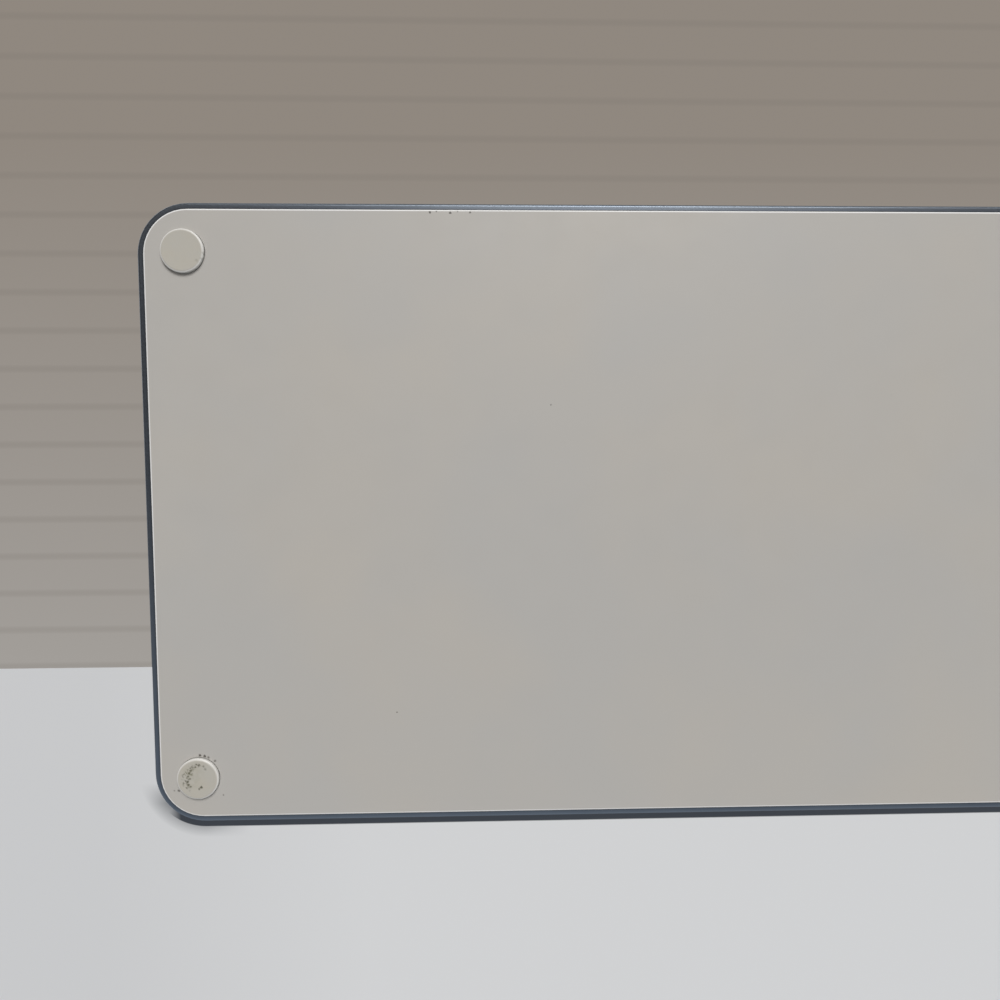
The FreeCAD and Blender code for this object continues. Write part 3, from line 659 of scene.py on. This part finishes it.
band_low = (knob_left - band_width, flange_face, band_bottom)
band_high = (knob_left - paint_gap, flange_face + paint_thickness, band_top)
make_piece("switch_band", [slab(band_low, band_high)], green_paint(), "power_switch")

# The charging port. A nickel-plated steel shell with a slot that is open to the rear, and eight gilded
# contact springs side by side on the slot's floor.
port_setback = 1.0
port_front = rear - port_setback
port_floor = 4.45
contacts = 8
contact_pitch = 0.62
contact_width = 0.34
contact_thickness = 0.09
contact_setback = 0.7
contact_length = 4.8
contact_hump = 0.28


def plated(name, color, rough_low, rough_high):
    """Plated or bare metal with faint smudges."""
    f = Finish(name)
    f.set("Base Color", f.blend(f.noise(2.0 * mm, 3.0), color, tuple(0.9 * c for c in color)))
    f.set("Metallic", 1.0)
    f.set("Roughness", f.ramp(f.noise(0.8 * mm, 3.0), 0.3, 0.7, rough_low, rough_high))
    f.set("Normal", f.bump(f.noise(0.15 * mm), 0.003 * mm, 0.5))
    return f.material


def swept(path, section, flat, closed=False):
    """A section carried along a path that lies in a plane whose normal is flat. For each (a, b) of
    the section, anticlockwise, the point is path + a (flat x tangent) + b flat."""
    path, flat = np.array(path, float), np.array(flat, float)
    if closed:
        ahead = np.roll(path, -1, axis=0) - np.roll(path, 1, axis=0)
    else:
        ahead = np.gradient(path, axis=0)
    tangent = ahead / np.linalg.norm(ahead, axis=1, keepdims=True)
    side = np.cross(flat, tangent)
    a, b = np.array(section, float).T
    points = path[:, None] + side[:, None] * a[:, None] + flat * b[:, None]
    rows, columns = points.shape[:2]
    faces = grid_faces(rows, columns, along=closed)
    if not closed:
        faces += end_faces(rows, columns)
    return points.reshape(-1, 3), faces


def bar_section(width, height):
    """The four corners of a bar's section, anticlockwise."""
    a, b = width / 2, height / 2
    return [(-a, -b), (a, -b), (a, b), (-a, b)]


def contact_spring(x):
    """A strip along the slot. Its height over the floor is a low hump h sin^2(pi t) along its length."""
    t = np.linspace(0, 1, 9)
    height = port_floor + contact_thickness / 2 + contact_hump * np.sin(np.pi * t) ** 2
    path = np.stack([np.full(9, x), port_front - contact_setback - contact_length * t, height], axis=-1)
    return swept(path, bar_section(contact_thickness, contact_width), (1, 0, 0))


dress("charge_port", plated("nickel_plating", (0.50, 0.49, 0.47), 0.28, 0.42))
springs = [contact_spring((n - (contacts - 1) / 2) * contact_pitch) for n in range(contacts)]
gilding = plated("gilding", (0.83, 0.62, 0.30), 0.25, 0.35)
make_piece("port_contacts", springs, gilding, "case")

# The keys. Caps of white satin plastic, in five full rows and a shallow function row, on one sloping
# plane. Their places follow from one pitch, counted in units along each row.
pitch = 19.0
key_gap = 2.6
key_depth = pitch - key_gap
margin = 3.0
half_width = cad_high.x / mm
deck_rise = 6.28
deck_front = 4.1
deck_tilt = math.atan2(deck_rise, 2 * rear)
cap_top = 0.9
function_depth = 10.3
half_key_gap = 1.0
arrow_depth = (key_depth - half_key_gap) / 2

bottom_row = ["fn", "control", "left_option", "left_command", "space", "right_command", "right_option"]
lower_letters = [*"zxcvbnm", "comma", "period", "slash"]
home_row = ["caps_lock", *"asdfghjkl", "semicolon", "quote", "return"]
upper_row = ["tab", *"qwertyuiop", "left_bracket", "right_bracket", "backslash"]
digits = ["grave", *("digit_%d" % (n % 10) for n in range(1, 11)), "minus", "equals"]
function_names = ["f%d" % n for n in range(1, 13)]
key_rows = [
    bottom_row,
    ["left_shift", *lower_letters, "right_shift"],
    home_row,
    upper_row,
    [*digits, "delete"],
    ["escape", *function_names, "lock"],
]
wide_keys = {
    "left_command": 1.25,
    "space": 5,
    "right_command": 1.25,
    "left_shift": 2.25,
    "right_shift": 2.25,
    "caps_lock": 1.75,
    "return": 1.75,
    "tab": 1.5,
    "delete": 1.5,
    "escape": 1.5,
}
banks = {
    "lower_letter_keys": lower_letters,
    "symbol_keys": ["left_bracket", "right_bracket", "backslash", "semicolon", "quote"],
    "number_keys": digits,
    "function_keys": function_names,
}


def lay_out_keys():
    """Each key's left, front, width and depth on the deck, in mm, from the pitch and its units."""
    places = {}
    for row, names in enumerate(key_rows):
        left = margin - half_width
        front = margin + row * pitch
        depth = function_depth if names[0] == "escape" else key_depth
        for name in names:
            units = wide_keys.get(name, 1)
            places[name] = (left, front, units * pitch - key_gap, depth)
            left += units * pitch
    arrows = margin - half_width + pitch * sum(wide_keys.get(name, 1) for name in bottom_row)
    for n, name in enumerate(("arrow_left", "arrow_down", "arrow_right")):
        places[name] = (arrows + n * pitch, margin, key_depth, arrow_depth)
    places["arrow_up"] = (arrows + pitch, margin + arrow_depth + half_key_gap, key_depth, arrow_depth)
    return places


def body_of_key(name):
    """The body that a key moves with: its own, or its bank's."""
    found = [bank for bank, members in banks.items() if name in members]
    return found[0] if found else "key_" + name


def on_deck(points):
    """Deck places (u right, v up the slope, w out of it) in the body's frame, turned by the tilt."""
    u, v, w = np.asarray(points, float).T
    c, s = math.cos(deck_tilt), math.sin(deck_tilt)
    return np.stack([u, v * c - w * s - rear, v * s + w * c + deck_front], axis=-1)


def keycap_plastic():
    """White plastic, with the faint sheen of a fine moulded grain."""
    f = Finish("keycap_plastic")
    color = f.blend(f.ramp(f.noise(20 * mm, 2.0), 0.35, 0.65), (0.74, 0.74, 0.73), (0.71, 0.715, 0.71))
    f.set("Base Color", color)
    f.set("Roughness", f.ramp(f.noise(4 * mm, 3.0), 0.3, 0.7, 0.42, 0.52))
    f.set("IOR", 1.49)
    f.set("Normal", f.bump(f.noise(0.3 * mm, 2.0), 0.005 * mm, 0.5))
    return f.material


keys = lay_out_keys()
white_caps = keycap_plastic()
for body in frame["bodies"]:
    if body not in ("case", "power_switch"):
        dress(body, white_caps)

home_bar_half = 1.8
home_bar_radius = 0.30
home_bar_rise = 0.22
home_bar_inset = 2.6
home_bar_reserve = 0.15


def home_bar(name):
    """A low bar by which a finger finds its key: a half ellipse carried across the cap. Its size goes
    as sqrt(1 - x^2), where x reaches 1 a little past the bar's end."""
    left, front, width, _ = keys[name]
    across = np.linspace(-home_bar_half, home_bar_half, 7)
    taper = np.sqrt(1 - (across / (home_bar_half + home_bar_reserve)) ** 2)
    a = np.linspace(0, np.pi, 7)
    u = np.repeat(left + width / 2 + across, len(a))
    v = front + home_bar_inset + home_bar_radius * np.outer(taper, np.cos(a)).ravel()
    w = cap_top + home_bar_rise * np.outer(taper, np.sin(a)).ravel()
    faces = grid_faces(len(across), len(a)) + end_faces(len(across), len(a))
    return on_deck(np.stack([u, v, w], axis=-1)), faces


for name in ("f", "j"):
    bar = [home_bar(name)]
    make_piece("home_bar_" + name, bar, white_caps, "key_" + name, smooth=True)

# The legends. Plain letters, figures and signs in thin grey ink, printed on the caps before they are
# clipped on.
legend_level = cap_top + 0.012
smallest_ink = 1e-6
letter_size = 5.4
sign_size = 4.3
word_size = 2.9
sign_gap = 1.5
word_inset = 1.9
word_base = 2.1
capital_share = 0.70
thinning_share = 0.006
legend_words = {
    "escape": "esc",
    "tab": "tab",
    "caps_lock": "caps lock",
    "left_shift": "shift",
    "fn": "fn",
    "delete": "delete",
    "return": "return",
    "right_shift": "shift",
    "control": "control",
    "left_option": "option",
    "left_command": "command",
    "right_command": "command",
    "right_option": "option",
}
right_aligned = ("delete", "return", "right_shift")
centred = ("fn", "control", "left_option", "left_command", "right_command", "right_option")
paired_signs = dict(zip(digits, "~` !1 @2 #3 $4 %5 ^6 &7 *8 (9 )0 _- +=".split()))
paired_signs |= dict(zip(banks["symbol_keys"], ("{[", "}]", "|\\", ":;", "\"'")))
paired_signs |= {"comma": "<,", "period": ">.", "slash": "?/"}
arrow_turns = {"arrow_right": 0, "arrow_up": 90, "arrow_left": 180, "arrow_down": 270}
arrow_radius = 1.15
lock_half = 1.25
lock_bottom = -1.35
lock_shoulder = 0.35
shackle_bottom = 0.37
shackle_middle = 0.85
shackle_radii = (0.90, 0.62)


def printed(words, size, u, v, align="CENTER"):
    """Words in plain letters, with the baseline at v and their middle or one end at u."""
    curve = bpy.data.curves.new("ink", "FONT")
    curve.body = words
    curve.size = size
    curve.offset = -thinning_share * size
    curve.align_x = align
    curve.resolution_u = 3
    letters = bpy.data.objects.new("ink", curve)
    mesh = bpy.data.meshes.new_from_object(letters)
    points = np.empty(3 * len(mesh.vertices))
    mesh.vertices.foreach_get("co", points)
    faces = [tuple(face.vertices) for face in mesh.polygons if face.area > smallest_ink]
    for made, store in ((letters, bpy.data.objects), (curve, bpy.data.curves), (mesh, bpy.data.meshes)):
        store.remove(made)
    return points.reshape(-1, 3) + (u, v, legend_level), faces


def flat_shape(outline):
    """One flat inked face from its outline, anticlockwise, in deck places."""
    return np.array([(u, v, legend_level) for u, v in outline], float), [tuple(range(len(outline)))]


def arrow(name, u, v):
    """A triangle that points the way its key moves the cursor."""
    corners = [math.radians(arrow_turns[name] + turn) for turn in (0, 120, 240)]
    return flat_shape([(u + arrow_radius * math.cos(a), v + arrow_radius * math.sin(a)) for a in corners])


def padlock(u, v):
    """A filled body under a shackle, which is a half ring on two legs."""
    low, high = v + lock_bottom, v + lock_shoulder
    body = [(u - lock_half, low), (u + lock_half, low), (u + lock_half, high), (u - lock_half, high)]
    a = np.linspace(0, np.pi, 9)
    outline = []
    for r in shackle_radii:
        arc = [(u + r * math.cos(t), v + shackle_middle + r * math.sin(t)) for t in a]
        outline += [(u + r, v + shackle_bottom), *arc, (u - r, v + shackle_bottom)]
    points = np.array([(x, y, legend_level) for x, y in outline], float)
    n = len(outline) // 2
    return [flat_shape(body), (points, [(k, k + 1, n + k + 1, n + k) for k in range(n - 1)])]


def legend_of(name):
    """What is printed on one key, as flat shapes in deck places."""
    left, front, width, depth = keys[name]
    u, v = left + width / 2, front + depth / 2
    base = front + word_base
    if len(name) == 1:
        return [printed(name.upper(), letter_size, u, v - capital_share / 2 * letter_size)]
    if name in paired_signs:
        bases = (v + sign_gap, v - sign_gap - capital_share * sign_size)
        return [printed(sign, sign_size, u, low) for sign, low in zip(paired_signs[name], bases)]
    if name in function_names:
        return [printed(name.upper(), word_size, u, v - capital_share / 2 * word_size)]
    if name.startswith("arrow"):
        return [arrow(name, u, v)]
    if name == "lock":
        return padlock(u, v)
    if name in centred:
        return [printed(legend_words[name], word_size, u, base)]
    if name in right_aligned:
        return [printed(legend_words[name], word_size, left + width - word_inset, base, "RIGHT")]
    if name in legend_words:
        return [printed(legend_words[name], word_size, left + word_inset, base, "LEFT")]
    return []


def legend_ink():
    """Thin matt grey ink, slightly uneven."""
    f = Finish("legend_ink")
    f.set("Base Color", f.blend(f.noise(0.6 * mm, 3.0), (0.100, 0.102, 0.108), (0.135, 0.137, 0.142)))
    f.set("Roughness", f.ramp(f.noise(0.5 * mm), 0.3, 0.7, 0.55, 0.70))
    f.set("Normal", f.bump(f.noise(0.2 * mm), 0.002 * mm, 0.4))
    return f.material


grey_ink = legend_ink()
keys_of_body = {}
for name in keys:
    keys_of_body.setdefault(body_of_key(name), []).append(name)
for body, names in keys_of_body.items():
    inked = [shape for name in names for shape in legend_of(name)]
    if inked:
        shapes = [(on_deck(points), faces) for points, faces in inked]
        make_piece("legend_" + body, shapes, grey_ink, body)

# The key mechanisms. Under each cap a silicone dome pushes it up, two crossed nylon frames keep it
# level, and wide caps have a bent steel bar too. All of it folds flat as the key goes down.
membrane_top = -1.9
cap_ceiling = 0.2
seat_gap = 0.05
cap_skirt = 0.7
frame_length = 9.0
frame_bar = 0.7
frame_thickness = 0.5
frame_clearance = 0.1
frame_corner = 0.5
dome_radius = 2.5
dome_flange = 0.1
dome_neck = 0.6
dome_top = 0.55
wire_radius = 0.35
arm_length = 4.0
arm_bend = 1.2
bar_end_inset = 2.6
round_corner_offset = 1.5
space_frame_offset = 28
widest_frame = 8.6
bar_wall_gap = 0.5


def frame_widths(depth):
    """Widths across a scissor's outer and inner frame, in a key of that depth."""
    outer = min(widest_frame, depth - 2 * cap_skirt - 4 * frame_clearance)
    return outer, outer - 2 * frame_bar - 2 * frame_clearance


def scissor_frame(u, v, width, side):
    """A flat bar round a rectangle with round corners, tilted by t about the crossing axis: for a
    point at x along the frame, u + x cos t and w - x sin t."""
    low = membrane_top + seat_gap + frame_thickness / 2
    high = cap_ceiling - seat_gap - frame_thickness / 2
    run = (frame_length - frame_bar) / 2 - frame_corner
    span = (width - frame_bar) / 2 - frame_corner
    a = np.radians([n * 90 + turn for n in range(4) for turn in (0, 45, 90)])
    signs = np.repeat([(1, 1), (-1, 1), (-1, -1), (1, -1)], 3, axis=0)
    path = signs * (run, span) + frame_corner * np.stack([np.cos(a), np.sin(a)], axis=-1)
    path = np.hstack([path, np.zeros((len(a), 1))])
    points, faces = swept(path, bar_section(frame_bar, frame_thickness), (0, 0, 1), closed=True)
    tilt = side * math.asin((high - low) / frame_length)
    x, y, z = points.T
    c, s = math.cos(tilt), math.sin(tilt)
    w = (low + high) / 2 - x * s + z * c
    return on_deck(np.stack([u + x * c + z * s, v + y, w], axis=-1)), faces


def dome(u, v, inner_width):
    """A bell turned about the key's middle: a flange, a wall whose radius falls as half a cosine wave
    to a share dome_neck, and a flat top."""
    r = min(dome_radius, inner_width / 2 - frame_bar - frame_clearance)
    height = cap_ceiling - seat_gap - membrane_top
    t = np.linspace(0, 1, 5)
    radii = r * ((1 + dome_neck) / 2 + (1 - dome_neck) / 2 * np.cos(np.pi * t))
    wall = zip(radii, dome_flange + 0.02 + (height - 2 * dome_flange) * t)
    profile = [(r, 0.0), (r, dome_flange), *wall, (dome_top * r, height)]
    points, faces = turned(profile, 12)
    return on_deck(points + (u, v, membrane_top)), faces


def levelling_bar(u, front, width, depth):
    """A round wire along the cap's rear edge, with an arm forward at each end, turned down by t:
    v + y cos t and w + y sin t for a point at y, which is below 0 in front of the bar."""
    half = width / 2 - bar_end_inset
    turn = np.radians([0, 30, 60, 90])
    bend = np.stack([-half + arm_bend * (1 - np.cos(turn)), -arm_bend * (1 - np.sin(turn))], axis=-1)
    left = np.vstack([[(-half, -arm_length)], bend])
    path = np.vstack([left, left[::-1] * (-1, 1)])
    path = np.hstack([path, np.zeros((len(path), 1))])
    a = np.linspace(0, 2 * np.pi, 10, endpoint=False)
    ring = np.stack([wire_radius * np.cos(a), wire_radius * np.sin(a)], axis=-1)
    points, faces = swept(path, ring, (0, 0, 1))
    bar_v = front + depth - cap_skirt - bar_wall_gap - wire_radius
    bar_w = cap_ceiling - seat_gap - wire_radius
    drop = math.asin((bar_w - (membrane_top + seat_gap + wire_radius)) / arm_length)
    x, y, z = points.T
    c, s = math.cos(drop), math.sin(drop)
    return on_deck(np.stack([u + x, bar_v + y * c - z * s, bar_w + y * s + z * c], axis=-1)), faces


def silicone():
    """Milky silicone rubber."""
    f = Finish("silicone")
    f.set("Base Color", f.blend(f.noise(1.5 * mm), (0.66, 0.67, 0.65), (0.60, 0.62, 0.60)))
    f.set("Roughness", f.ramp(f.noise(0.8 * mm), 0.3, 0.7, 0.40, 0.55))
    f.set("Normal", f.bump(f.noise(0.4 * mm), 0.01 * mm, 0.4))
    return f.material


def nylon():
    """Moulded white nylon."""
    f = Finish("nylon")
    f.set("Base Color", f.blend(f.noise(3 * mm), (0.72, 0.72, 0.69), (0.68, 0.68, 0.65)))
    f.set("Roughness", f.ramp(f.noise(0.6 * mm), 0.3, 0.7, 0.45, 0.60))
    f.set("Normal", f.bump(f.noise(0.3 * mm), 0.006 * mm, 0.4))
    return f.material


def fold_under(piece, node):
    """Stands for the CAD node, which it hides, and takes a mesh of its own."""
    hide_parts(node)
    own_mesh(piece)


dome_finish = silicone()
frame_finish = nylon()
bar_steel = plated("bar_steel", (0.56, 0.56, 0.57), 0.22, 0.34)
stabilised = ("space", "left_shift", "right_shift", "caps_lock", "return", "tab", "delete")
for body, names in keys_of_body.items():
    domes, frames, bars = [], [], []
    for name in names:
        left, front, width, depth = keys[name]
        u, v = left + width / 2, front + depth / 2
        if name in ("lock", "arrow_right"):
            u -= round_corner_offset
        outer, inner = frame_widths(depth)
        domes.append(dome(u, v, inner))
        offsets = (-space_frame_offset, space_frame_offset) if name == "space" else (0,)
        for offset in offsets:
            frames.append(scissor_frame(u + offset, v, outer, 1))
            frames.append(scissor_frame(u + offset, v, inner, -1))
        if name in stabilised:
            bars.append(levelling_bar(u, front, width, depth))
    piece = make_piece("dome_" + body, domes, dome_finish, "case", smooth=True)
    fold_under(piece, "rubber_domes")
    piece = make_piece("frames_" + body, frames, frame_finish, "case")
    fold_under(piece, "scissor_links")
    if bars:
        piece = make_piece("bar_" + body, bars, bar_steel, "case", smooth=True)
        fold_under(piece, "stabiliser_bars")

# The sheets under the keys. A zinc-plated steel plate, riveted up to the deck, carries the printed
# switch circuit, whose tail folds back into the logic board.
def rolled_steel():
    """Zinc-plated steel sheet with long rolling marks."""
    f = Finish("rolled_steel")
    marks = f.noise(1.0, 3.0, f.vector("MULTIPLY", f.place, (40, 1500, 1500)))
    f.set("Base Color", f.blend(marks, (0.52, 0.53, 0.54), (0.44, 0.45, 0.46)))
    f.set("Metallic", 1.0)
    f.set("Roughness", f.ramp(marks, 0.3, 0.7, 0.34, 0.50))
    f.set("Normal", f.bump(marks, 0.004 * mm, 0.5))
    return f.material


trace_pitch = 1.6


def printed_film(name, film, traces):
    """Clear plastic film with straight printed conductors, about a third of their pitch wide."""
    f = Finish(name)
    x, _, _ = f.parts(f.place)
    wave = f.math("SINE", f.math("MULTIPLY", x, 2 * math.pi / (trace_pitch * mm)))
    lines = f.ramp(wave, 0.50, 0.60)
    f.set("Base Color", f.blend(lines, film, traces))
    f.set("Roughness", f.ramp(f.noise(3 * mm, 3.0), 0.3, 0.7, 0.25, 0.40))
    f.set("Normal", f.bump(lines, 0.01 * mm, 0.6))
    return f.material


dress("key_backplate", rolled_steel())
dress("deck_rivets", plated("rivet_steel", (0.58, 0.58, 0.58), 0.26, 0.40))
switch_film = printed_film("switch_film", (0.50, 0.53, 0.52), (0.30, 0.30, 0.31))
dress("circuit_membrane", switch_film)
dress("membrane_tail", switch_film)

# What the case holds behind the cover. Two flat battery cells in black wrap, the logic board with its
# chips, two flat leads, the screws, the switch's housing and the ring of tape that holds the cover.
def black_wrap():
    """Thin black film drawn tight over a cell, with faint creases."""
    f = Finish("black_wrap")
    creases = f.noise(6 * mm, 4.0)
    f.set("Base Color", f.blend(creases, (0.030, 0.030, 0.032), (0.045, 0.045, 0.048)))
    f.set("Roughness", f.ramp(creases, 0.3, 0.7, 0.30, 0.50))
    f.set("Normal", f.bump(creases, 0.15 * mm, 0.5))
    return f.material


board_underside = (4.95 * mm, 4.99 * mm)


def circuit_board():
    """Dark green varnish on the board, black epoxy on the chips that hang below it."""
    f = Finish("circuit_board")
    _, _, z = f.parts(f.place)
    on_board = f.ramp(z, *board_underside)
    mottled = f.ramp(f.noise(1.2 * mm, 3.0), 0.45, 0.55)
    varnish = f.blend(mottled, (0.010, 0.055, 0.035), (0.016, 0.085, 0.050))
    f.set("Base Color", f.blend(on_board, (0.020, 0.020, 0.021), varnish))
    f.set("Roughness", f.ramp(on_board, 0.0, 1.0, 0.60, 0.32))
    f.set("Normal", f.bump(f.noise(0.5 * mm), 0.02 * mm, 0.5))
    return f.material


def matt_plastic(name, light, dark):
    """Plain plastic or tape with a fine grain, between two near colours."""
    f = Finish(name)
    f.set("Base Color", f.blend(f.noise(2 * mm, 3.0), light, dark))
    f.set("Roughness", f.ramp(f.noise(0.6 * mm), 0.3, 0.7, 0.50, 0.68))
    f.set("Normal", f.bump(f.noise(0.25 * mm), 0.008 * mm, 0.5))
    return f.material


dress("battery_pack", black_wrap())
dress("logic_board", circuit_board())
dress("flex_leads", printed_film("amber_film", (0.36, 0.15, 0.03), (0.52, 0.26, 0.08)))
dress("board_screws", plated("screw_steel", (0.46, 0.46, 0.47), 0.28, 0.40))
dress("switch_body", matt_plastic("switch_plastic", (0.035, 0.035, 0.037), (0.025, 0.025, 0.027)))
dress("cover_adhesive", matt_plastic("black_tape", (0.050, 0.050, 0.053), (0.036, 0.036, 0.038)))
